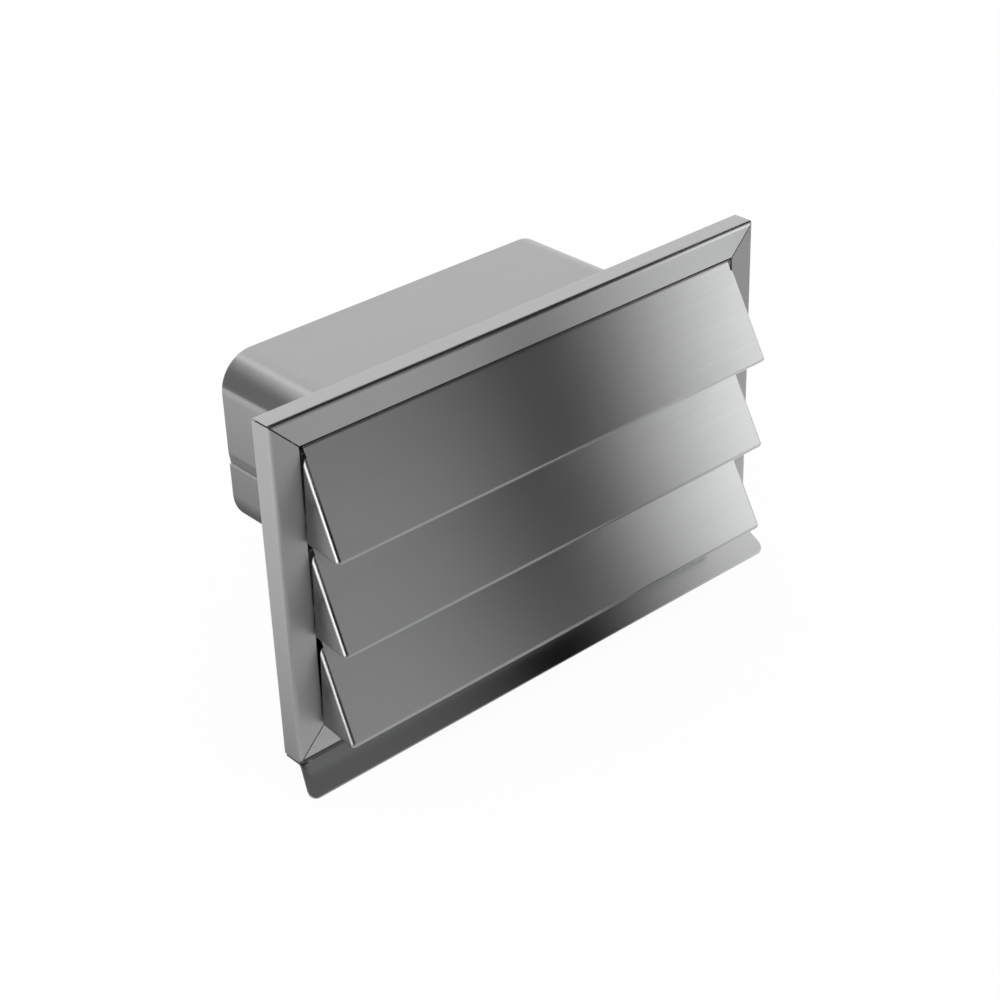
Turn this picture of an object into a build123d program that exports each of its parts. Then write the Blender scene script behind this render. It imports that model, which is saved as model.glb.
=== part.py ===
from build123d import *
import os
from math import cos, radians, sin

# Gravity louvre shutter for a flat rectangular duct, in brushed stainless sheet.
# Millimetres. The wall plane is y = 0, the outdoor side is -Y and the duct runs along +Y.
# The origin is the middle of the frame on the wall plane.

# Outer frame
FRAME_WIDTH = 295.0
FRAME_HEIGHT = 173.0
FRAME_DEPTH = 11.5
FACE_STRIP = 14.5
RAIL_SHEET = 1.0
RAIL_BEND = 2.0
MITRE_GAP = 0.8

# Drip sill under the frame
SILL_SHEET = 0.8
SILL_REACH = 11.5
SILL_DROP = 12.0
SILL_BEND = 3.0
SILL_HEM = 3.5
SILL_CORNER = 4.5
SILL_SPLAY = 4.5
SILL_SETBACK = 1.0

# Back plate, a shallow tray inside the frame
PLATE_SHEET = 1.0
PLATE_FLANGE = 6.0
PLATE_BEND = 1.2
PLATE_FIT = 0.1
SCREW_SPACING_X = 238.0
SCREW_SPACING_Z = 110.0
SCREW_HOLE = 4.5

# Duct spigot
DUCT_WIDTH = 204.0
DUCT_HEIGHT = 90.0
DUCT_CORNER = 18.0
DUCT_LENGTH = 90.0
DUCT_RISE = 20.5
DUCT_SHEET = 0.8
DUCT_LIP = 6.0
DUCT_HOLE_FIT = 0.1
SEAM_HEIGHT = -10.0
SEAM_LAP = 10.0
SEAM_JOGGLE = 6.0

# Flaps: three folded wedges, each hung on a rod along its top edge
FLAP_NAMES = ("top", "middle", "bottom")
FLAP_TILT = 27.0
FLAP_SHEET = 0.8
FLAP_BEND = 2.0
FLAP_SPLAY = 2.0
FLAP_SIDE_GAP = 0.8
FLAP_STRIP_GAP = 0.3
FLAP_OVERHANG = 2.0
WEB_RISE = 0.4
LIP_HEIGHT = 5.6
LIP_INSET = 0.4
CHEEK_STANDOFF = 1.6
CHEEK_BEND_EASE = 0.1

# Hinge line of each flap, measured from the frame's front face and from the flap's top edge
HINGE_DEPTH = 5.5
HINGE_DROP = 5.5
ROD_RADIUS = 1.6
ROD_FIT = 0.1
ROD_END = 0.6

# Bearings for the rods
BEARING_SHEET = 1.0
BEARING_OFFSET = 1.5
BEARING_FLANGE = 10.0
BEARING_BEND = 1.5
BEARING_GAP = 0.3
BEARING_END_GAP = 1.0
BUSH_BORE_FIT = 0.08
BUSH_WALL = 1.1
BUSH_HOLE_FIT = 0.05
BUSH_RIM = 1.2
BUSH_RIM_THICKNESS = 1.0
BUSH_LENGTH = 3.0
CLIP_THICKNESS = 0.8
CLIP_WALL = 1.6
CLIP_GAP = 0.2

# Closed stop of each flap
BUFFER_THICKNESS = 0.6
BUFFER_LENGTH = 14.0
BUFFER_SPACING = 200.0
BUFFER_GAP = 0.3
STOP_BAR = 3.0
STOP_BAR_RISE = 2.4

# Derived places
OPENING_HALF_WIDTH = FRAME_WIDTH / 2 - FACE_STRIP
OPENING_TOP = FRAME_HEIGHT / 2 - FACE_STRIP
FLAP_PITCH = 2 * OPENING_TOP / len(FLAP_NAMES)
FLAP_HALF_WIDTH = OPENING_HALF_WIDTH - FLAP_SIDE_GAP
CHEEK_BEND = FLAP_BEND - CHEEK_BEND_EASE
HINGE_Y = HINGE_DEPTH - FRAME_DEPTH
HINGE_HEIGHTS = [OPENING_TOP - index * FLAP_PITCH - HINGE_DROP for index in range(len(FLAP_NAMES))]
KNUCKLE_BORE = ROD_RADIUS + ROD_FIT
KNUCKLE_RADIUS = KNUCKLE_BORE + FLAP_SHEET
BEARING_X = OPENING_HALF_WIDTH + BEARING_OFFSET
BUSH_BORE = ROD_RADIUS + BUSH_BORE_FIT
BUSH_RADIUS = BUSH_BORE + BUSH_WALL
LIP_Y = LIP_INSET - FRAME_DEPTH
STOP_BAR_Y = LIP_Y + BUFFER_THICKNESS + BUFFER_GAP

# The wall plane, seen from outdoors: its normal points to the front
WALL = Plane(origin=(0, 0, 0), x_dir=(1, 0, 0), z_dir=(0, -1, 0))

os.makedirs("parts", exist_ok=True)


def save(builder, name):
    """Label a finished piece and write its file."""
    builder.part.label = name
    export_step(builder.part, f"parts/{name}.step")


def frame_rail(turn, half_run, half_across):
    """One folded rail: an outer wall and a face strip, mitred at both ends."""
    run = (cos(radians(turn)), 0, -sin(radians(turn)))
    with BuildPart() as rail:
        with BuildSketch(Plane(origin=(0, 0, 0), x_dir=(0, 1, 0), z_dir=run)):
            with BuildLine():
                FilletPolyline(
                    (0, half_across),
                    (-FRAME_DEPTH, half_across),
                    (-FRAME_DEPTH, half_across - FACE_STRIP),
                    radius=RAIL_BEND,
                )
                offset(amount=RAIL_SHEET, side=Side.LEFT)
            make_face()
        extrude(amount=half_run, both=True)
        mitre_end = half_run - MITRE_GAP / 2
        with BuildSketch(Plane(origin=(0, 0, 0), x_dir=run, z_dir=(0, -1, 0))):
            with BuildLine():
                Polyline(
                    (-mitre_end, half_across),
                    (mitre_end, half_across),
                    (mitre_end - FACE_STRIP, half_across - FACE_STRIP),
                    (FACE_STRIP - mitre_end, half_across - FACE_STRIP),
                    close=True,
                )
            make_face()
        extrude(amount=FRAME_DEPTH, both=True, mode=Mode.INTERSECT)
    return rail


# Frame rails, each the same fold turned about the duct axis
save(frame_rail(0, FRAME_WIDTH / 2, FRAME_HEIGHT / 2), "frame_rail_top")
save(frame_rail(90, FRAME_HEIGHT / 2, FRAME_WIDTH / 2), "frame_rail_right")
save(frame_rail(180, FRAME_WIDTH / 2, FRAME_HEIGHT / 2), "frame_rail_bottom")
save(frame_rail(270, FRAME_HEIGHT / 2, FRAME_WIDTH / 2), "frame_rail_left")

# Drip sill: a flange under the bottom rail, a slope that splays past the frame and a hemmed front edge
SILL_TOP = -FRAME_HEIGHT / 2
SILL_FOOT = Vector(-FRAME_DEPTH - SILL_REACH, SILL_TOP - SILL_DROP)
SILL_SLOPE = Vector(SILL_REACH, SILL_DROP).normalized()
SILL_UNDERSIDE = SILL_SLOPE.rotate(Axis.Z, -90)
SILL_HEM_CENTRE = SILL_FOOT + SILL_SLOPE * (SILL_HEM / 2 - SILL_SHEET) + SILL_UNDERSIDE * SILL_SHEET
SILL_ANGLE = SILL_SLOPE.get_signed_angle(Vector(1, 0), Vector(0, 0, -1))
SILL_LENGTH = Vector(SILL_REACH, SILL_DROP).length
SILL_PLANE = Plane(
    origin=(0, SILL_FOOT.X, SILL_FOOT.Y),
    x_dir=(1, 0, 0),
    z_dir=(0, -SILL_SLOPE.Y, SILL_SLOPE.X),
)
with BuildPart() as drip_sill:
    with BuildSketch(Plane.YZ):
        with BuildLine():
            FilletPolyline(
                (-SILL_SETBACK, SILL_TOP),
                (-FRAME_DEPTH, SILL_TOP),
                SILL_FOOT,
                radius=SILL_BEND,
            )
            offset(amount=SILL_SHEET, side=Side.LEFT)
        make_face()
        with Locations(SILL_HEM_CENTRE):
            SlotOverall(SILL_HEM, 2 * SILL_SHEET, rotation=SILL_ANGLE)
    extrude(amount=FRAME_WIDTH / 2 + SILL_SPLAY, both=True)
    with BuildSketch(SILL_PLANE) as outline:
        with BuildLine():
            Polyline(
                (-FRAME_WIDTH / 2, SILL_LENGTH + FRAME_DEPTH),
                (-FRAME_WIDTH / 2, SILL_LENGTH),
                (-FRAME_WIDTH / 2 - SILL_SPLAY, -SILL_SHEET),
                (FRAME_WIDTH / 2 + SILL_SPLAY, -SILL_SHEET),
                (FRAME_WIDTH / 2, SILL_LENGTH),
                (FRAME_WIDTH / 2, SILL_LENGTH + FRAME_DEPTH),
                close=True,
            )
        make_face()
        fillet(outline.vertices().group_by(Axis.Z)[0], radius=SILL_CORNER)
    extrude(amount=SILL_DROP + SILL_HEM, both=True, mode=Mode.INTERSECT)
save(drip_sill, "drip_sill")

# Back plate: a tray that fits inside the rails, with four screw holes and the spigot's opening
PLATE_WIDTH = FRAME_WIDTH - 2 * (RAIL_SHEET + PLATE_FIT)
PLATE_HEIGHT = FRAME_HEIGHT - 2 * (RAIL_SHEET + PLATE_FIT)
DUCT_HOLE_GROWTH = 2 * DUCT_HOLE_FIT
with BuildPart() as back_plate:
    with BuildSketch(WALL):
        Rectangle(PLATE_WIDTH, PLATE_HEIGHT)
    extrude(amount=PLATE_FLANGE)
    fillet(back_plate.faces().sort_by(Axis.Y)[-1].outer_wire().edges(), radius=PLATE_BEND)
    with BuildSketch(WALL.offset(PLATE_SHEET)):
        Rectangle(PLATE_WIDTH - 2 * PLATE_SHEET, PLATE_HEIGHT - 2 * PLATE_SHEET)
    extrude(amount=PLATE_FLANGE, mode=Mode.SUBTRACT)
    with BuildSketch(WALL):
        with Locations((0, DUCT_RISE)):
            RectangleRounded(DUCT_WIDTH + DUCT_HOLE_GROWTH, DUCT_HEIGHT + DUCT_HOLE_GROWTH, DUCT_CORNER)
        with GridLocations(SCREW_SPACING_X, SCREW_SPACING_Z, 2, 2):
            Circle(SCREW_HOLE / 2)
    extrude(amount=PLATE_SHEET, mode=Mode.SUBTRACT)
save(back_plate, "back_plate")

# Duct spigot: a wrapped tube, joggled above its lapped seam, with a lip spot-welded to the back plate
DUCT_INNER_WIDTH = DUCT_WIDTH - 2 * DUCT_SHEET
DUCT_INNER_HEIGHT = DUCT_HEIGHT - 2 * DUCT_SHEET
SEAM_Z = DUCT_RISE + SEAM_HEIGHT
DUCT_SIDE = -DUCT_WIDTH / 2
with BuildPart() as duct_spigot:
    with BuildSketch(WALL.offset(-DUCT_LENGTH)):
        with Locations((0, DUCT_RISE)):
            RectangleRounded(DUCT_WIDTH, DUCT_HEIGHT, DUCT_CORNER)
        with BuildLine():
            Polyline(
                (DUCT_SIDE, SEAM_Z),
                (DUCT_SIDE + DUCT_SHEET, SEAM_Z),
                (DUCT_SIDE, SEAM_Z + SEAM_JOGGLE),
                close=True,
            )
        make_face(mode=Mode.SUBTRACT)
    extrude(amount=DUCT_LENGTH + PLATE_SHEET)
    with BuildSketch(WALL.offset(PLATE_SHEET)):
        with Locations((0, DUCT_RISE)):
            RectangleRounded(DUCT_WIDTH + 2 * DUCT_LIP, DUCT_HEIGHT + 2 * DUCT_LIP, DUCT_CORNER + DUCT_LIP)
    extrude(amount=DUCT_SHEET)
    with BuildSketch(WALL.offset(-DUCT_LENGTH)):
        with Locations((0, DUCT_RISE)):
            RectangleRounded(DUCT_INNER_WIDTH, DUCT_INNER_HEIGHT, DUCT_CORNER - DUCT_SHEET)
        with BuildLine():
            Polyline(
                (DUCT_SIDE + DUCT_SHEET, SEAM_Z - SEAM_LAP),
                (DUCT_SIDE + 2 * DUCT_SHEET, SEAM_Z - SEAM_LAP),
                (DUCT_SIDE + 2 * DUCT_SHEET, SEAM_Z),
                (DUCT_SIDE + DUCT_SHEET, SEAM_Z + SEAM_JOGGLE),
                close=True,
            )
        make_face(mode=Mode.SUBTRACT)
    extrude(amount=DUCT_LENGTH + PLATE_SHEET + DUCT_SHEET, mode=Mode.SUBTRACT)
save(duct_spigot, "duct_spigot")

# Bearing strips: an angle on each side of the opening, drilled for the bushes
BEARING_FRONT = BEARING_GAP + RAIL_SHEET - FRAME_DEPTH
with BuildPart() as bearing_strip_right:
    with BuildSketch(Plane.XY):
        with BuildLine():
            FilletPolyline(
                (BEARING_X, BEARING_FRONT),
                (BEARING_X, -PLATE_SHEET),
                (BEARING_X + BEARING_FLANGE, -PLATE_SHEET),
                radius=BEARING_BEND,
            )
            offset(amount=BEARING_SHEET, side=Side.RIGHT)
        make_face()
    extrude(amount=PLATE_HEIGHT / 2 - PLATE_SHEET - BEARING_END_GAP, both=True)
    with BuildSketch(Plane.YZ.offset(BEARING_X)):
        with Locations(*[(HINGE_Y, height) for height in HINGE_HEIGHTS]):
            Circle(BUSH_RADIUS + BUSH_HOLE_FIT)
    extrude(amount=BEARING_SHEET, mode=Mode.SUBTRACT)
save(bearing_strip_right, "bearing_strip_right")
with BuildPart() as bearing_strip_left:
    mirror(bearing_strip_right.part, about=Plane.YZ)
save(bearing_strip_left, "bearing_strip_left")

# Corners of a flap's section, measured from its hinge line: x to the rear, y up
DOWN = Vector(-sin(radians(FLAP_TILT)), -cos(radians(FLAP_TILT)))
OUT = Vector(-cos(radians(FLAP_TILT)), sin(radians(FLAP_TILT)))
STRIP_EDGE = Vector(RAIL_SHEET - HINGE_DEPTH, HINGE_DROP)
FACE_OFFSET = STRIP_EDGE.dot(OUT) - FLAP_STRIP_GAP
FOOT_HEIGHT = HINGE_DROP - FLAP_PITCH - FLAP_OVERHANG
FACE_LENGTH = (FACE_OFFSET * OUT.Y - FOOT_HEIGHT) / -DOWN.Y
RETURN_BACK = DOWN * -KNUCKLE_RADIUS
FACE_TOP = OUT * FACE_OFFSET + RETURN_BACK
FACE_FOOT = OUT * FACE_OFFSET + DOWN * FACE_LENGTH
WEB_BACK = Vector(LIP_Y - HINGE_Y, HINGE_DROP - FLAP_PITCH + WEB_RISE)
LIP_TOP = WEB_BACK + Vector(0, LIP_HEIGHT)
CHEEK_X = min(-CHEEK_STANDOFF - HINGE_DEPTH, WEB_BACK.X - FLAP_BEND)
CHEEK_TOP = FACE_TOP + DOWN * ((CHEEK_X - FACE_TOP.X) / DOWN.X)
WEB_SLOPE = (WEB_BACK.Y - FACE_FOOT.Y) / (WEB_BACK.X - FACE_FOOT.X)
CHEEK_BACK = Vector(CHEEK_X, FACE_FOOT.Y + WEB_SLOPE * (CHEEK_X - FACE_FOOT.X))

with BuildSketch() as wedge_outline:
    with BuildLine():
        FilletPolyline(CHEEK_TOP, FACE_FOOT, CHEEK_BACK, radius=FLAP_BEND)
        Line(CHEEK_BACK, CHEEK_TOP)
    make_face()

with BuildSketch() as folded_sheet:
    with BuildLine():
        FilletPolyline(RETURN_BACK, FACE_TOP, FACE_FOOT, WEB_BACK, LIP_TOP, radius=FLAP_BEND)
        offset(amount=FLAP_SHEET, side=Side.LEFT)
    make_face()

with BuildSketch() as wedge_inside:
    add(wedge_outline.sketch)
    add(folded_sheet.sketch, mode=Mode.SUBTRACT)


def flap_wedge(hinge, section, inset):
    """A flap's wedge, or the hollow a sheet's thickness inside it: the cheeks splay towards the foot."""
    half_top = FLAP_HALF_WIDTH - inset
    half_foot = half_top + FLAP_SPLAY
    with BuildPart() as wedge:
        with BuildSketch(hinge):
            add(section.sketch)
        extrude(amount=half_foot, both=True)
        with BuildSketch(Plane(origin=hinge.origin, x_dir=(1, 0, 0), z_dir=(0, -1, 0))):
            with BuildLine():
                Polyline(
                    (-half_top, HINGE_DROP),
                    (half_top, HINGE_DROP),
                    (half_foot, FOOT_HEIGHT),
                    (-half_foot, FOOT_HEIGHT),
                    close=True,
                )
            make_face()
        extrude(amount=-FACE_FOOT.X, mode=Mode.INTERSECT)
        for end_face in (wedge.faces().sort_by(Axis.X)[0], wedge.faces().sort_by(Axis.X)[-1]):
            fillet(end_face.edges().sort_by(SortBy.LENGTH)[-1], radius=CHEEK_BEND - inset)
    return wedge


for flap_name, hinge_height in zip(FLAP_NAMES, HINGE_HEIGHTS):
    hinge = Plane(origin=(0, HINGE_Y, hinge_height), x_dir=(0, 1, 0), z_dir=(1, 0, 0))

    # Flap: one folded sheet, a wedge with cheeks, and a stop lip and a rolled knuckle between them
    wedge = flap_wedge(hinge, wedge_outline, 0)
    hollow = flap_wedge(hinge, wedge_inside, FLAP_SHEET)
    with BuildPart() as flap:
        add(wedge.part)
        add(hollow.part, mode=Mode.SUBTRACT)
        with BuildSketch(hinge):
            add(folded_sheet.sketch)
            Circle(KNUCKLE_RADIUS)
        extrude(amount=FLAP_HALF_WIDTH - CHEEK_BEND, both=True)
        with BuildSketch(hinge):
            Circle(KNUCKLE_BORE)
        extrude(amount=FLAP_HALF_WIDTH, both=True, mode=Mode.SUBTRACT)
    save(flap, f"{flap_name}_flap")

    # Hinge rod through the knuckle, running in a bush at each end
    rod_half_length = BEARING_X + BUSH_LENGTH + CLIP_GAP + CLIP_THICKNESS + ROD_END
    with BuildPart() as rod:
        with BuildSketch(hinge):
            Circle(ROD_RADIUS)
        extrude(amount=rod_half_length, both=True)
    save(rod, f"{flap_name}_hinge_rod")

    # Push-on clips at the two ends of the rod
    clip_x = BEARING_X + BUSH_LENGTH + CLIP_GAP
    with BuildPart() as clips:
        with BuildSketch(hinge.offset(clip_x), hinge.offset(-clip_x - CLIP_THICKNESS)):
            Circle(ROD_RADIUS + CLIP_WALL)
            Circle(ROD_RADIUS, mode=Mode.SUBTRACT)
        extrude(amount=CLIP_THICKNESS)
    save(clips, f"{flap_name}_rod_clips")

    # Buffers on the back of the stop lip
    stop_height = hinge_height + HINGE_DROP - FLAP_PITCH + STOP_BAR_RISE
    with BuildPart() as buffers:
        with BuildSketch(WALL.offset(-LIP_Y)):
            with Locations((-BUFFER_SPACING / 2, stop_height), (BUFFER_SPACING / 2, stop_height)):
                Rectangle(BUFFER_LENGTH, STOP_BAR, align=(Align.CENTER, Align.MIN))
        extrude(amount=-BUFFER_THICKNESS)
    save(buffers, f"{flap_name}_buffers")

    # Stop bar behind the lip, welded between the bearing strips
    with BuildPart() as stop_bar:
        with BuildSketch(Plane.YZ):
            with Locations((STOP_BAR_Y, stop_height)):
                Rectangle(STOP_BAR, STOP_BAR, align=(Align.MIN, Align.MIN))
        extrude(amount=BEARING_X, both=True)
    save(stop_bar, f"{flap_name}_stop_bar")

    # Nylon bushes, with a rim on the flap's side of the bearing strip
    with BuildPart() as bush_right:
        with BuildSketch(hinge.offset(BEARING_X)):
            Circle(BUSH_RADIUS)
        extrude(amount=BUSH_LENGTH)
        with BuildSketch(hinge.offset(BEARING_X)):
            Circle(BUSH_RADIUS + BUSH_RIM)
        extrude(amount=-BUSH_RIM_THICKNESS)
        with BuildSketch(hinge.offset(BEARING_X)):
            Circle(BUSH_BORE)
        extrude(amount=BUSH_LENGTH, both=True, mode=Mode.SUBTRACT)
    save(bush_right, f"{flap_name}_bush_right")
    with BuildPart() as bush_left:
        mirror(bush_right.part, about=Plane.YZ)
    save(bush_left, f"{flap_name}_bush_left")
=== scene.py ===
"""Gravity louvre shutter of brushed stainless sheet: its finishes, the studio and the camera.

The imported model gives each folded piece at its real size. This script dresses the pieces and sets the
louvre on a pale floor between soft studio cards. Metres, +X to the right seen from outdoors, +Y along the
duct, +Z up.
"""
import logging
from dataclasses import dataclass
from enum import Enum
from math import cos, radians, sin
from typing import Any, ClassVar

import bpy
from mathutils import Matrix, Vector


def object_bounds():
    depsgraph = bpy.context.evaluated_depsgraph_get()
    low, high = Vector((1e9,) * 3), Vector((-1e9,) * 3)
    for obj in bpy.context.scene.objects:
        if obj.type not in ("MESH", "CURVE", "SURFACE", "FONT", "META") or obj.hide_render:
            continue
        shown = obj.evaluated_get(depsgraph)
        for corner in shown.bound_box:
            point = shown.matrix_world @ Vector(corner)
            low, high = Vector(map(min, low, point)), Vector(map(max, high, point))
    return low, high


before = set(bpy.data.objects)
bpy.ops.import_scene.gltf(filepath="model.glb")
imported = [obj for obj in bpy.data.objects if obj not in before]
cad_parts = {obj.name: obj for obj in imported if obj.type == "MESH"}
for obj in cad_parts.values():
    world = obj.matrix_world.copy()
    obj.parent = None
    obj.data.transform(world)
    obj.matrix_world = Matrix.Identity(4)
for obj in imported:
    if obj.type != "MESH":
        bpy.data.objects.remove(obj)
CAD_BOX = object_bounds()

log = logging.getLogger("louvre")

Colour = tuple[float, float, float]
Point = tuple[float, float, float]
Bands = tuple[tuple[float, float], ...]
FLAP_NAMES = ("top", "middle", "bottom")

# Lines per metre that the brushing shows across its run and along it.
LINES_ACROSS = 2600.0
LINES_ALONG = 9.0


class Grain(Enum):
    """The way that the brushing runs: the tangent's axis, its turn, and the lines per metre on x, y and z."""

    LEVEL = ("X", 0.0, (LINES_ALONG, LINES_ACROSS, LINES_ACROSS))
    UPRIGHT = ("Z", 0.0, (LINES_ACROSS, LINES_ACROSS, LINES_ALONG))
    ROUND = ("Y", 0.25, (LINES_ALONG, LINES_ACROSS, LINES_ALONG))

    @property
    def axis(self) -> str:
        """The axis that the shader's tangent circles."""
        return self.value[0]

    @property
    def turn(self) -> float:
        """The turn of the highlight against that tangent, as a share of a full circle."""
        return self.value[1]

    @property
    def pitch(self) -> tuple[float, float, float]:
        """Lines per metre along x, y and z."""
        return self.value[2]


@dataclass
class NodeDesk:
    """A node tree under construction."""

    tree: bpy.types.NodeTree

    def add(self, kind: str, inputs: dict[str | int, Any] | None = None, **settings: Any) -> bpy.types.Node:
        """Adds a node.

        Args:
            kind: the node's type name.
            inputs: socket names or numbers, with a value or the output socket that feeds them.
            **settings: the node's own properties.

        Returns:
            The new node.
        """
        node = self.tree.nodes.new(kind)
        for key, value in settings.items():
            setattr(node, key, value)
        self.feed(node, inputs or {})
        return node

    def feed(self, node: bpy.types.Node, inputs: dict[str | int, Any]) -> None:
        """Sets a node's inputs.

        Args:
            node: the node.
            inputs: socket names or numbers, with a value or the output socket that feeds them.
        """
        for key, value in inputs.items():
            if isinstance(value, bpy.types.NodeSocket):
                self.tree.links.new(value, node.inputs[key])
            else:
                node.inputs[key].default_value = value

    def math(self, operation: str, first: Any, second: Any = 0.0) -> bpy.types.NodeSocket:
        """Adds a Math node and gives its result.

        Args:
            operation: the name of the operation.
            first: a number or an output socket.
            second: a number or an output socket.

        Returns:
            The result's socket.
        """
        return self.add("ShaderNodeMath", {0: first, 1: second}, operation=operation).outputs[0]

    def noise(self, place: Any, scale: float, detail: float, roughness: float = 0.5) -> bpy.types.NodeSocket:
        """Adds a noise texture over a place and gives its value from 0 to 1."""
        inputs = {"Vector": place, "Scale": scale, "Detail": detail, "Roughness": roughness}
        return self.add("ShaderNodeTexNoise", inputs).outputs[0]

    def ranged(
        self, value: Any, low: float, high: float, to_low: float, to_high: float
    ) -> bpy.types.NodeSocket:
        """Maps a value from one range to another, clamped, with soft ends."""
        inputs = {"Value": value, "From Min": low, "From Max": high, "To Min": to_low, "To Max": to_high}
        return self.add("ShaderNodeMapRange", inputs, interpolation_type="SMOOTHSTEP").outputs[0]


def new_group(name: str, inputs: dict[str, str], outputs: dict[str, str]) -> tuple[NodeDesk, Any, Any]:
    """Starts a shader node group.

    Args:
        name: the group's name.
        inputs: socket names with their types.
        outputs: socket names with their types.

    Returns:
        The desk, the group's input node and its output node.
    """
    tree = bpy.data.node_groups.new(name, "ShaderNodeTree")
    for side, sockets in (("INPUT", inputs), ("OUTPUT", outputs)):
        for label, kind in sockets.items():
            tree.interface.new_socket(name=label, in_out=side, socket_type=kind)
    desk = NodeDesk(tree)
    return desk, desk.add("NodeGroupInput"), desk.add("NodeGroupOutput")


class SharedEffects:
    """The surface effects that several finishes use, each as one node group."""

    FINE_LINES = {"scale": 1.0, "detail": 4.0, "roughness": 0.65}
    BROAD_BANDS = {"scale": 0.16, "detail": 2.0}
    FINE_SHARE, BROAD_SHARE = 0.6, 0.4
    CLOUDS = {"scale": 17.0, "detail": 3.0}
    CLOUD_RANGE = (0.42, 0.68)
    WIPED = {"scale": 70.0, "detail": 2.0}
    WIPED_RANGE = (0.35, 0.7)
    WIPED_LEAST = 0.35
    BEVEL_SAMPLES = 6
    FOLD_TURN = (0.995, 0.86)

    def __init__(self) -> None:
        """Builds the three groups."""
        self.brushing = self.build_brushing()
        self.handling = self.build_handling()
        self.folds = self.build_folds()

    @staticmethod
    def build_brushing() -> bpy.types.NodeTree:
        """Fine lines and broader bands of a brushed sheet, as a tone near 1 and a height.

        Returns:
            The node group.
        """
        desk, given, result = new_group(
            "brushed_lines",
            {"Place": "NodeSocketVector", "Pitch": "NodeSocketVector", "Contrast": "NodeSocketFloat"},
            {"Tone": "NodeSocketFloat", "Height": "NodeSocketFloat"},
        )
        stretch = {0: given.outputs["Place"], 1: given.outputs["Pitch"]}
        lines = desk.add("ShaderNodeVectorMath", stretch, operation="MULTIPLY").outputs[0]
        fine = desk.noise(lines, **SharedEffects.FINE_LINES)
        broad = desk.noise(lines, **SharedEffects.BROAD_BANDS)
        fine_part = desk.math("MULTIPLY", fine, SharedEffects.FINE_SHARE)
        blend = desk.math("ADD", fine_part, desk.math("MULTIPLY", broad, SharedEffects.BROAD_SHARE))
        swing = desk.math("MULTIPLY", desk.math("SUBTRACT", blend, 0.5), given.outputs["Contrast"])
        desk.tree.links.new(desk.math("ADD", swing, 1.0), result.inputs["Tone"])
        desk.tree.links.new(fine, result.inputs["Height"])
        return desk.tree

    @staticmethod
    def build_handling() -> bpy.types.NodeTree:
        """Faint cloudy marks left by wiping and handling, as a mask from 0 to 1.

        Returns:
            The node group.
        """
        desk, given, result = new_group(
            "handling_marks",
            {"Place": "NodeSocketVector", "Amount": "NodeSocketFloat"},
            {"Mask": "NodeSocketFloat"},
        )
        place = given.outputs["Place"]
        clouds = desk.ranged(desk.noise(place, **SharedEffects.CLOUDS), *SharedEffects.CLOUD_RANGE, 0.0, 1.0)
        wiped_noise = desk.noise(place, **SharedEffects.WIPED)
        wiped = desk.ranged(wiped_noise, *SharedEffects.WIPED_RANGE, SharedEffects.WIPED_LEAST, 1.0)
        mask = desk.math("MULTIPLY", desk.math("MULTIPLY", clouds, wiped), given.outputs["Amount"])
        desk.tree.links.new(mask, result.inputs["Mask"])
        return desk.tree

    @staticmethod
    def build_folds() -> bpy.types.NodeTree:
        """Sheet edges and folds, which rub bright and take a painted highlight: a mask, and a normal that
        rounds the sharp ones off.

        Returns:
            The node group.
        """
        desk, given, result = new_group(
            "rubbed_folds_and_highlight",
            {"Radius": "NodeSocketFloat"},
            {"Mask": "NodeSocketFloat", "Normal": "NodeSocketVector"},
        )
        bevel_inputs = {"Radius": given.outputs["Radius"]}
        rounded = desk.add("ShaderNodeBevel", bevel_inputs, samples=SharedEffects.BEVEL_SAMPLES).outputs[0]
        flat = desk.add("ShaderNodeNewGeometry").outputs["True Normal"]
        both = {0: rounded, 1: flat}
        turn = desk.add("ShaderNodeVectorMath", both, operation="DOT_PRODUCT").outputs["Value"]
        desk.tree.links.new(desk.ranged(turn, *SharedEffects.FOLD_TURN, 0.0, 1.0), result.inputs["Mask"])
        desk.tree.links.new(rounded, result.inputs["Normal"])
        return desk.tree


def new_material(name: str) -> tuple[bpy.types.Material, NodeDesk, bpy.types.Node]:
    """Starts a material that has a Principled shader.

    Args:
        name: the material's name.

    Returns:
        The material, its desk and its Principled node.
    """
    material = bpy.data.materials.new(name)
    material.use_nodes = True
    return material, NodeDesk(material.node_tree), material.node_tree.nodes["Principled BSDF"]


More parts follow.
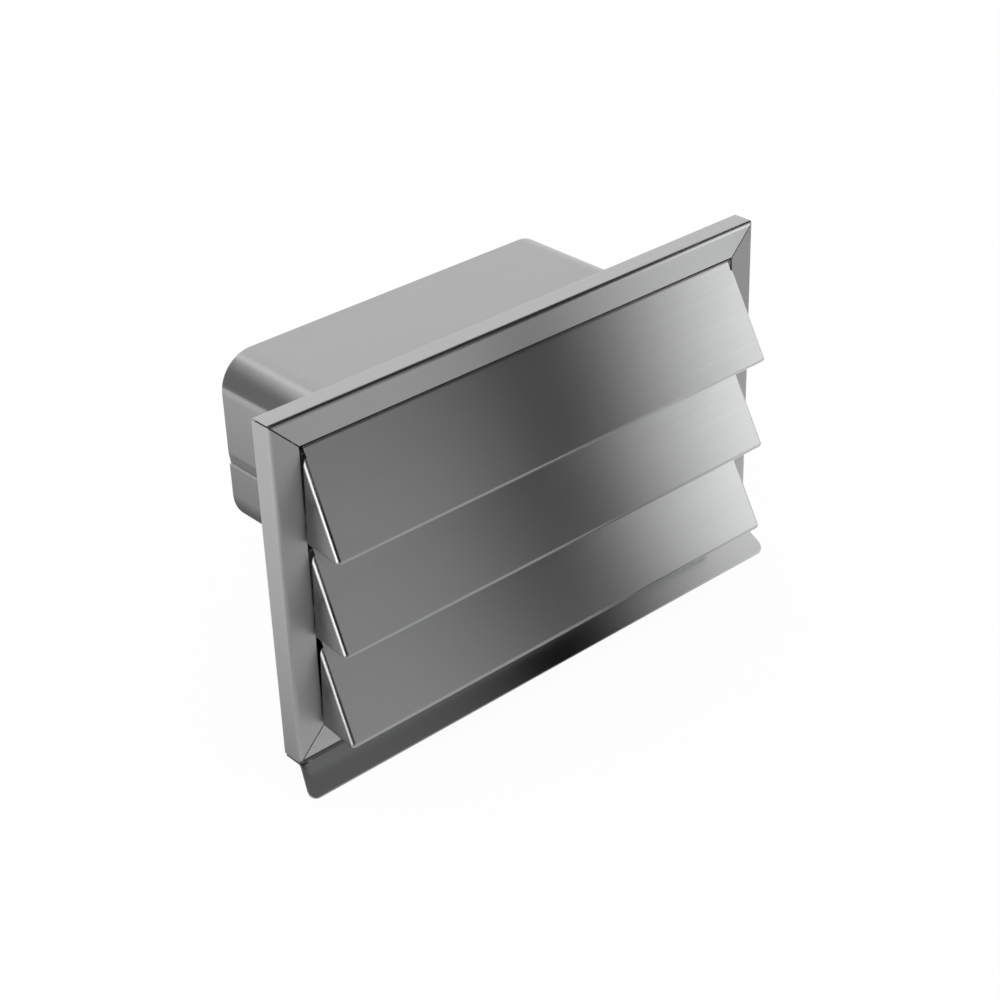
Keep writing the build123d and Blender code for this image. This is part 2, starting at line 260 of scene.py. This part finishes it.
@dataclass(frozen=True)
class SteelSheet:
    """Stainless sheet, brushed one way, with faint handling marks, and rubbed folds that carry a painted
    highlight.

    Cheeks that face sideways may take painted shade, and an edge may take a painted highlight: it turns pale
    and loses its mirror.
    """

    MARK_DULLING: ClassVar[float] = 0.05
    MARK_ROUGHNESS: ClassVar[float] = 0.05
    RUB_AND_HIGHLIGHT_LIFT: ClassVar[float] = 0.12
    LINE_ROUGHNESS: ClassVar[float] = 0.35
    SHADED_SIDE_FACING: ClassVar[tuple[float, float]] = (0.94, 0.99)

    name: str
    grain: Grain
    tone: Colour
    roughness: float = 0.25
    anisotropy: float = 0.88
    contrast: float = 0.12
    marks: float = 0.2
    fold_radius: float = 0.00025
    relief: float = 0.000003
    painted_side_shade: float = 1.0
    painted_edge_highlight: float = 0.0

    def build(self, effects: SharedEffects) -> bpy.types.Material:
        """Builds the material.

        Args:
            effects: the shared node groups.

        Returns:
            The material.
        """
        material, desk, shader = new_material(self.name)
        place = desk.add("ShaderNodeTexCoord").outputs
        line_inputs = {"Place": place["Object"], "Pitch": self.grain.pitch, "Contrast": self.contrast}
        lines = desk.add("ShaderNodeGroup", node_tree=effects.brushing)
        marks = desk.add("ShaderNodeGroup", node_tree=effects.handling)
        folds = desk.add("ShaderNodeGroup", node_tree=effects.folds)
        desk.feed(lines, line_inputs)
        desk.feed(marks, {"Place": place["Object"], "Amount": self.marks})
        desk.feed(folds, {"Radius": self.fold_radius})
        line_tone, marked, folded = lines.outputs["Tone"], marks.outputs["Mask"], folds.outputs["Mask"]

        dulled = desk.math("SUBTRACT", line_tone, desk.math("MULTIPLY", marked, self.MARK_DULLING))
        # Painted highlight, partly rubbed wear: edges and folds are lifted pale in the colour.
        edge_highlighted = desk.math("ADD", dulled, desk.math("MULTIPLY", folded, self.RUB_AND_HIGHLIGHT_LIFT + self.painted_edge_highlight))
        # Painted shade: faces that turn sideways, such as the flaps' cheeks, are darkened by a set share.
        facing = desk.add("ShaderNodeSeparateXYZ", {0: place["Normal"]}).outputs["X"]
        side_shade = desk.ranged(desk.math("ABSOLUTE", facing), *self.SHADED_SIDE_FACING, 1.0, self.painted_side_shade)
        shaded = desk.math("MULTIPLY", edge_highlighted, side_shade)
        colour = desk.add("ShaderNodeVectorMath", {0: self.tone, "Scale": shaded}, operation="SCALE")
        between = desk.math("MULTIPLY", desk.math("SUBTRACT", 1.0, line_tone), self.LINE_ROUGHNESS)
        rough = desk.math("ADD", between, self.roughness)
        rough = desk.math("ADD", rough, desk.math("MULTIPLY", marked, self.MARK_ROUGHNESS))
        bump_inputs = {"Height": lines.outputs["Height"], "Distance": self.relief}
        bump = desk.add("ShaderNodeBump", {**bump_inputs, "Normal": folds.outputs["Normal"]})
        tangent = desk.add("ShaderNodeTangent", direction_type="RADIAL", axis=self.grain.axis)
        desk.tree.links.new(colour.outputs[0], shader.inputs["Base Color"])
        desk.tree.links.new(rough, shader.inputs["Roughness"])
        desk.tree.links.new(bump.outputs[0], shader.inputs["Normal"])
        desk.tree.links.new(tangent.outputs[0], shader.inputs["Tangent"])
        # Painted highlight: on an edge the mirror gives way to a pale diffuse colour.
        bare = desk.math("SUBTRACT", 1.0, desk.math("MULTIPLY", folded, self.painted_edge_highlight))
        desk.tree.links.new(bare, shader.inputs["Metallic"])
        shader.inputs["Anisotropic"].default_value = self.anisotropy
        shader.inputs["Anisotropic Rotation"].default_value = self.grain.turn
        return material


@dataclass(frozen=True)
class SmallPart:
    """Wire, clips, nylon and foam: one colour with a fine mottle, and its own gloss."""

    name: str
    tone: Colour
    roughness: float
    metallic: float
    mottle_scale: float = 900.0
    mottle: float = 0.12
    relief: float = 0.00001

    MOTTLE_DETAIL: ClassVar[float] = 4.0
    TONE_RANGE: ClassVar[tuple[float, float]] = (0.25, 0.75)
    GLOSS_RANGE: ClassVar[tuple[float, float]] = (0.3, 0.7)
    GLOSS_SWING: ClassVar[float] = 0.15

    def build(self) -> bpy.types.Material:
        """Builds the material.

        Returns:
            The material.
        """
        material, desk, shader = new_material(self.name)
        place = desk.add("ShaderNodeTexCoord").outputs["Object"]
        mottle = desk.noise(place, self.mottle_scale, self.MOTTLE_DETAIL)
        share = desk.ranged(mottle, *self.TONE_RANGE, 1.0 - self.mottle, 1.0 + self.mottle)
        colour = desk.add("ShaderNodeVectorMath", {0: self.tone, "Scale": share}, operation="SCALE")
        glossy, dull = self.roughness * (1.0 - self.GLOSS_SWING), self.roughness * (1.0 + self.GLOSS_SWING)
        rough = desk.ranged(mottle, *self.GLOSS_RANGE, glossy, dull)
        desk.tree.links.new(colour.outputs[0], shader.inputs["Base Color"])
        desk.tree.links.new(rough, shader.inputs["Roughness"])
        bump = desk.add("ShaderNodeBump", {"Height": mottle, "Distance": self.relief})
        desk.tree.links.new(bump.outputs[0], shader.inputs["Normal"])
        shader.inputs["Metallic"].default_value = self.metallic
        return material


class Finishes:
    """Every finish of the louvre, built once."""

    def __init__(self, effects: SharedEffects) -> None:
        """Builds the materials.

        Args:
            effects: the shared node groups.
        """
        steel = (0.5, 0.5, 0.497)
        self.level_rail = SteelSheet("brushed_rail_level", Grain.LEVEL, steel).build(effects)
        upright = SteelSheet("brushed_rail_upright", Grain.UPRIGHT, steel, roughness=0.5, anisotropy=0.5)
        self.upright_rail = upright.build(effects)
        # The flaps' cheeks take painted shade, darkened to 0.55 of the sheet's tone.
        self.flap = SteelSheet("brushed_flap", Grain.LEVEL, steel, painted_side_shade=0.55).build(effects)
        sill = SteelSheet("brushed_sill", Grain.LEVEL, (0.375, 0.375, 0.375), roughness=0.145)
        self.sill = sill.build(effects)
        spigot = SteelSheet(
            "brushed_spigot", Grain.ROUND, (0.385, 0.385, 0.385), roughness=0.24, anisotropy=0.6,
            # The spigot's edges and seam take a strong painted highlight.
            fold_radius=0.0006, painted_edge_highlight=0.9,
        )
        self.spigot = spigot.build(effects)
        mill = SteelSheet(
            "mill_sheet", Grain.UPRIGHT, (0.36, 0.36, 0.355), roughness=0.38, anisotropy=0.4, marks=0.4
        )
        self.mill = mill.build(effects)
        self.rod = SmallPart("drawn_rod", (0.5, 0.5, 0.49), roughness=0.24, metallic=1.0).build()
        self.clip = SmallPart("spring_clip", (0.12, 0.12, 0.13), roughness=0.36, metallic=1.0).build()
        nylon = SmallPart(
            "natural_nylon", (0.78, 0.76, 0.7), roughness=0.42, metallic=0.0, mottle_scale=400.0, mottle=0.05
        )
        self.nylon = nylon.build()
        foam = SmallPart(
            "black_foam", (0.03, 0.03, 0.03), roughness=0.85, metallic=0.0, mottle_scale=2600.0, mottle=0.5,
            relief=0.0001,
        )
        self.foam = foam.build()


def dress(node_name: str, material: bpy.types.Material) -> None:
    """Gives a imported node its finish.

    Args:
        node_name: the node's name.
        material: the finish.
    """
    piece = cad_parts[node_name]
    piece.data.materials.clear()
    piece.data.materials.append(material)
    log.info("%s dressed in %s", node_name, material.name)


@dataclass
class Casing:
    """The mitred rails, the sill under them and the duct spigot behind."""

    level_rails: tuple[str, ...] = ("frame_rail_top", "frame_rail_bottom")
    upright_rails: tuple[str, ...] = ("frame_rail_left", "frame_rail_right")

    def dress(self, finishes: Finishes) -> None:
        """Gives each piece the brushing of the strip that it was cut from.

        Args:
            finishes: the louvre's finishes.
        """
        for name in self.level_rails:
            dress(name, finishes.level_rail)
        for name in self.upright_rails:
            dress(name, finishes.upright_rail)
        dress("drip_sill", finishes.sill)
        dress("duct_spigot", finishes.spigot)


@dataclass
class InnerWorks:
    """What the flaps hide: the plate, the bearing strips, and the stop bars and bushes on them."""

    sheets: tuple[str, ...] = ("back_plate", "bearing_strip_left", "bearing_strip_right")

    def dress(self, finishes: Finishes) -> None:
        """Gives the hidden pieces their plainer finishes.

        Args:
            finishes: the louvre's finishes.
        """
        for name in self.sheets:
            dress(name, finishes.mill)
        for flap in FLAP_NAMES:
            dress(f"{flap}_stop_bar", finishes.mill)
            for side in ("left", "right"):
                dress(f"{flap}_bush_{side}", finishes.nylon)


@dataclass
class Flap:
    """One swinging flap with its rod, clips and buffers."""

    name: str

    def dress(self, finishes: Finishes) -> None:
        """Gives the flap and what rides on it their finishes.

        Args:
            finishes: the louvre's finishes.
        """
        dress(f"{self.name}_flap", finishes.flap)
        dress(f"{self.name}_hinge_rod", finishes.rod)
        dress(f"{self.name}_rod_clips", finishes.clip)
        dress(f"{self.name}_buffers", finishes.foam)


def mesh_piece(name: str, points: list[Vector], faces: list[tuple[int, ...]]) -> bpy.types.Object:
    """Makes an object from points and faces.

    Args:
        name: the object's name.
        points: its corners, in metres.
        faces: the corners of each face.

    Returns:
        The object, in the scene.
    """
    mesh = bpy.data.meshes.new(name)
    mesh.from_pydata([tuple(point) for point in points], [], faces)
    mesh.update()
    piece = bpy.data.objects.new(name, mesh)
    bpy.context.scene.collection.objects.link(piece)
    return piece


@dataclass
class PaleFloor:
    """A plain pale floor that shows white and keeps a soft shadow."""

    height: float
    half_size: float = 9.0
    tone: Colour = (0.8, 0.8, 0.8)
    whiteness: float = 0.95

    def build(self) -> None:
        """Builds the floor."""
        corners = [Vector((x, y, self.height)) for x, y in ((-1, -1), (1, -1), (1, 1), (-1, 1))]
        for corner in corners:
            corner.x *= self.half_size
            corner.y *= self.half_size
        floor = mesh_piece("floor", corners, [(0, 1, 2, 3)])
        floor.data.materials.append(self.paint())

    def paint(self) -> bpy.types.Material:
        """Builds the floor's paint: pale, seen near white, and clear from below.

        Returns:
            The material.
        """
        material, desk, shader = new_material("floor_paint")
        path = desk.add("ShaderNodeLightPath").outputs
        seen = desk.math("MAXIMUM", path["Is Camera Ray"], path["Is Glossy Ray"])
        seen = desk.math("MAXIMUM", seen, path["Is Transmission Ray"])
        desk.feed(shader, {"Base Color": (*self.tone, 1.0), "Roughness": 0.9, "Specular IOR Level": 0.0})
        glow = desk.add("ShaderNodeEmission", {"Color": (1.0, 1.0, 1.0, 1.0), "Strength": 1.0})
        share = desk.math("MULTIPLY", seen, self.whiteness)
        white = desk.add("ShaderNodeMixShader", {0: share, 1: shader.outputs[0], 2: glow.outputs[0]})
        clear = desk.add("ShaderNodeBsdfTransparent")
        below = desk.add("ShaderNodeNewGeometry").outputs["Backfacing"]
        both = desk.add("ShaderNodeMixShader", {0: below, 1: white.outputs[0], 2: clear.outputs[0]})
        output = material.node_tree.nodes["Material Output"]
        desk.tree.links.new(both.outputs[0], output.inputs["Surface"])
        return material


def ends(bands: Bands) -> tuple[float, float]:
    """Gives the places of the first band and the last."""
    return bands[0][0], bands[-1][0]


@dataclass(frozen=True)
class Rib:
    """One line across a card: its own Y and Z, its share of the glow, and how far its bands slide in X."""

    y: float
    z: float
    share: float = 1.0
    slide: float = 0.0


@dataclass
class StudioCard:
    """A reflector that only the metal sees: a sheet over its ribs, with bright and dark bands along X.

    Each band is a place along X and the strength of the glow there.
    """

    name: str
    ribs: list[Rib]
    reach: tuple[float, float]
    bands: Bands
    tint: Colour = (1.0, 1.0, 1.0)
    turn: float = 0.0

    def build(self) -> None:
        """Builds the card over its ribs, from one end of its reach in X to the other."""
        points = [Vector((x, rib.y, rib.z)) for rib in self.ribs for x in self.reach]
        faces = [(2 * i, 2 * i + 1, 2 * i + 3, 2 * i + 2) for i in range(len(self.ribs) - 1)]
        card = mesh_piece(self.name, points, faces)
        for label in ("share", "slide"):
            values = [getattr(rib, label) for rib in self.ribs for _ in self.reach]
            card.data.attributes.new(label, "FLOAT", "POINT").data.foreach_set("value", values)
        card.data.materials.append(self.paint())
        card.rotation_euler.z = radians(self.turn)
        card.visible_camera = False
        card.visible_diffuse = False
        card.visible_transmission = False
        card.visible_volume_scatter = False
        card.visible_shadow = False

    def paint(self) -> bpy.types.Material:
        """Builds the card's glow: its bands along X, slid and dimmed from rib to rib.

        Returns:
            The material.
        """
        material, desk, shader = new_material(self.name + "_paint")
        material.node_tree.nodes.remove(shader)
        place = desk.add("ShaderNodeTexCoord").outputs["Object"]
        along_x = desk.add("ShaderNodeSeparateXYZ", {0: place}).outputs["X"]
        share = desk.add("ShaderNodeAttribute", attribute_name="share").outputs["Fac"]
        slide = desk.add("ShaderNodeAttribute", attribute_name="slide").outputs["Fac"]
        first, last = ends(self.bands)
        slid = desk.math("SUBTRACT", along_x, slide)
        range_inputs = {"Value": slid, "From Min": first, "From Max": last}
        along = desk.add("ShaderNodeMapRange", range_inputs).outputs[0]
        curve = desk.add("ShaderNodeFloatCurve", {"Value": along})
        top = max(level for _, level in self.bands)
        line = curve.mapping.curves[0]
        for index, (band_x, level) in enumerate(self.bands):
            spot = ((band_x - first) / (last - first), level / top)
            if index == 0:
                line.points[0].location = spot
            elif index == len(self.bands) - 1:
                line.points[-1].location = spot
            else:
                line.points.new(*spot)
        for point in line.points:
            point.handle_type = "VECTOR"
        curve.mapping.update()
        strength = desk.math("MULTIPLY", desk.math("MULTIPLY", curve.outputs[0], top), share)
        glow = desk.add("ShaderNodeEmission", {"Color": (*self.tint, 1.0), "Strength": strength})
        output = material.node_tree.nodes["Material Output"]
        desk.tree.links.new(glow.outputs[0], output.inputs["Surface"])
        return material


# What the flaps mirror: dark on the left, a black bar, then bright on the right.
FRONT_BANDS: Bands = (
    (-1.3, 0.0), (-0.03, 0.0), (0.04, 0.4), (0.2, 0.43), (0.24, 0.4), (0.284, 0.34), (0.326, 0.24),
    (0.365, 0.1), (0.39, 0.0), (0.44, 0.0), (0.465, 0.1), (0.5, 0.42), (0.544, 0.9), (0.59, 1.25),
    (0.634, 1.75), (0.76, 1.85), (0.86, 1.7), (1.3, 1.3),
)
# What the bottom rail mirrors on the floor close by, and the top rail further out.
NEAR_BANDS: Bands = (
    (-1.3, 0.72), (-0.38, 0.72), (-0.33, 0.1), (-0.29, 0.1), (-0.24, 0.5), (-0.16, 0.6), (-0.08, 0.53),
    (-0.04, 0.46), (-0.01, 0.34), (0.027, 0.12), (0.05, 0.22), (0.07, 0.42), (0.094, 0.7), (0.127, 0.92),
    (0.2, 1.04), (0.24, 1.02), (0.3, 0.1), (1.3, 0.05),
)
FAR_BANDS: Bands = (
    (-1.3, 0.72), (-0.38, 0.72), (-0.33, 0.1), (-0.29, 0.1), (-0.24, 0.5), (-0.16, 0.63), (-0.106, 0.68),
    (-0.061, 0.68), (-0.02, 0.64), (0.027, 0.32), (0.05, 0.36), (0.09, 0.5), (0.121, 0.68), (0.167, 0.87),
    (0.212, 0.94), (0.24, 0.92), (0.3, 0.1), (1.3, 0.05),
)
# What the sill's right end mirrors, over the front card.
SILL_BANDS: Bands = ((0.56, 0.36), (0.6, 0.76), (0.64, 1.35), (0.7, 1.9), (0.76, 2.1), (1.0, 1.6))
# What the frame's left wall mirrors on the floor behind it, from far to near, dimming close to the louvre as
# painted shade.
LEFT_SHADE_BANDS: Bands = (
    (-0.9, 1.0), (-0.5, 1.02), (-0.33, 0.94), (-0.25, 0.74), (-0.2, 0.54), (-0.155, 0.36), (-0.1, 0.18),
    (0.12, 0.1),
)
# The bright cards at each side, and the dim card beyond the left with its bright top.
LEFT_BOX_BANDS: Bands = ((0.05, 2.8), (0.55, 2.8))
RIGHT_BOX_BANDS: Bands = ((-0.75, 1.2), (0.2, 1.2))
LEFT_FLAG_BANDS: Bands = ((-1.1, 0.26), (-0.16, 0.24))
LEFT_GLEAM_BANDS: Bands = ((-1.1, 1.6), (-0.05, 1.6))


@dataclass
class Studio:
    """Pale surroundings, cards bent over the front, aprons on the floor, upright cards and a soft lamp."""

    floor_height: float
    card_radius: float = 0.62
    card_arc: tuple[tuple[float, float, float], ...] = (
        (-8.0, 1.0, -0.013), (10.0, 1.0, 0.016), (15.5, 0.99, 0.02), (18.5, 0.98, 0.033), (25.0, 0.96, 0.046),
        (30.0, 0.9, 0.046), (40.0, 0.29, 0.03), (50.0, 0.15, 0.03),
        (58.0, 0.03, 0.0), (72.0, 0.0, 0.0), (90.0, 0.0, 0.0), (108.0, 0.0, 0.0), (120.0, 0.02, 0.0),
    )
    gleam_radius: float = 0.6
    gleam_arc: tuple[float, ...] = (38.0, 47.0, 56.0)
    apron_lift: float = 0.001
    apron_lean: float = 0.76
    apron_half_width: float = 0.9
    near_shares: Bands = ((-0.2, 0.985), (-0.14, 1.02), (-0.027, 1.06))
    far_shares: Bands = ((-0.6, 0.9), (-0.2, 0.97))
    left_apron_depth: tuple[float, float] = (-0.02, 0.7)
    wall_distance: float = 0.9
    wall_top: float = 0.55
    flag_distance: float = 0.55
    flag_top: float = 0.5
    gleam_top: float = 0.74
    dark_tint: Colour = (0.985, 1.01, 1.0)
    sky_heights: tuple[float, float] = (-0.2, 0.8)
    sky_levels: tuple[float, float] = (1.0, 1.1)
    lamp_place: Point = (-0.7, -0.6, 1.0)
    lamp_side: float = 0.5
    lamp_energy: float = 4.0

    def build(self) -> None:
        """Builds the floor, the cards, the world and the lamp."""
        PaleFloor(self.floor_height).build()
        self.build_front()
        self.build_aprons()
        self.build_upright_cards()
        self.build_world()
        self.build_lamp()

    def build_front(self) -> None:
        """Builds the card bent over the front, and the bright one that the sill's right end mirrors."""
        front = [
            Rib(-self.card_radius * cos(radians(angle)), self.card_radius * sin(radians(angle)), share, slide)
            for angle, share, slide in self.card_arc
        ]
        StudioCard("front_card", front, ends(FRONT_BANDS), FRONT_BANDS, self.dark_tint).build()
        gleam = [
            Rib(-self.gleam_radius * cos(radians(angle)), self.gleam_radius * sin(radians(angle)))
            for angle in self.gleam_arc
        ]
        StudioCard("sill_gleam", gleam, ends(SILL_BANDS), SILL_BANDS).build()

    def build_aprons(self) -> None:
        """Builds the toned strips of floor, the left one with painted shade close to the louvre, the front
        ones with bands that lean towards the camera.
        """
        lift = self.floor_height + self.apron_lift
        reach = (-self.apron_half_width, self.apron_half_width)
        for name, shares, bands in (
            ("front_apron", self.near_shares, NEAR_BANDS),
            ("far_apron", self.far_shares, FAR_BANDS),
        ):
            apron = [Rib(y, lift, share, -self.apron_lean * y) for y, share in shares]
            StudioCard(name, apron, reach, bands, self.dark_tint).build()
        # Painted shade: the left apron glows less close to the louvre, where the floor lies in its shade.
        left = [Rib(y, lift) for y in self.left_apron_depth]
        StudioCard("left_apron", left, ends(LEFT_SHADE_BANDS), LEFT_SHADE_BANDS).build()

    def build_upright_cards(self) -> None:
        """Builds a bright card at each side, and a dim one with a bright top beyond the left."""
        side = [Rib(-self.wall_distance, self.floor_height), Rib(-self.wall_distance, self.wall_top)]
        flag = [Rib(self.flag_distance, self.floor_height), Rib(self.flag_distance, self.flag_top)]
        ridge = [Rib(self.flag_distance, self.flag_top), Rib(self.flag_distance, self.gleam_top)]
        StudioCard("left_box", side, ends(LEFT_BOX_BANDS), LEFT_BOX_BANDS, turn=-90.0).build()
        StudioCard("right_box", side, ends(RIGHT_BOX_BANDS), RIGHT_BOX_BANDS, turn=90.0).build()
        StudioCard("left_flag", flag, ends(LEFT_FLAG_BANDS), LEFT_FLAG_BANDS).build()
        StudioCard("left_gleam", ridge, ends(LEFT_GLEAM_BANDS), LEFT_GLEAM_BANDS).build()

    def build_world(self) -> None:
        """Builds the white surroundings, a little brighter overhead for what the metal mirrors."""
        world = bpy.data.worlds.new("studio")
        world.use_nodes = True
        bpy.context.scene.world = world
        desk = NodeDesk(world.node_tree)
        background = world.node_tree.nodes["Background"]
        place = desk.add("ShaderNodeTexCoord").outputs["Generated"]
        height = desk.add("ShaderNodeSeparateXYZ", {0: place}).outputs["Z"]
        level = desk.ranged(height, *self.sky_heights, *self.sky_levels)
        seen = desk.add("ShaderNodeLightPath").outputs["Is Camera Ray"]
        strength = desk.math("MAXIMUM", level, seen)
        desk.feed(background, {"Color": (1.0, 1.0, 1.0, 1.0), "Strength": strength})

    def build_lamp(self) -> None:
        """Builds one soft square lamp above the camera's left, turned to the louvre."""
        data = bpy.data.lights.new("soft_lamp", "AREA")
        data.shape = "RECTANGLE"
        data.size, data.size_y, data.energy = self.lamp_side, self.lamp_side, self.lamp_energy
        lamp = bpy.data.objects.new("soft_lamp", data)
        lamp.location = self.lamp_place
        lamp.rotation_mode = "QUATERNION"
        lamp.rotation_quaternion = (-lamp.location).to_track_quat("-Z", "Y")
        bpy.context.scene.collection.objects.link(lamp)


@dataclass(frozen=True)
class PhotoCamera:
    """The camera at the photograph's viewing angle."""

    place: Point = (-0.584614, -0.65548, 0.505953)
    right: Point = (0.741114, -0.670688, -0.030463)
    down: Point = (-0.36155, -0.360459, -0.859855)
    ahead: Point = (0.565714, 0.648265, -0.509628)
    lens: float = 77.175
    sensor: float = 36.0
    clip: tuple[float, float] = (0.02, 60.0)

    def build(self) -> None:
        """Builds the camera and makes it the scene's own."""
        data = bpy.data.cameras.new("photo_camera")
        data.lens, data.sensor_width = self.lens, self.sensor
        data.clip_start, data.clip_end = self.clip
        camera = bpy.data.objects.new("photo_camera", data)
        bpy.context.scene.collection.objects.link(camera)
        columns = (Vector(self.right), -Vector(self.down), -Vector(self.ahead))
        turn = Matrix(columns).transposed()
        camera.matrix_world = Matrix.Translation(self.place) @ turn.to_4x4()
        bpy.context.scene.camera = camera


def main() -> None:
    """Dresses the louvre, piece by piece, and sets up the studio and the camera."""
    logging.basicConfig(level=logging.INFO, format="%(name)s: %(message)s")
    finishes = Finishes(SharedEffects())
    Casing().dress(finishes)
    InnerWorks().dress(finishes)
    for name in FLAP_NAMES:
        Flap(name).dress(finishes)
    Studio(floor_height=CAD_BOX[0].z).build()
    PhotoCamera().build()
    bpy.context.scene.view_settings.view_transform = "Standard"


if __name__ == "__main__":
    main()
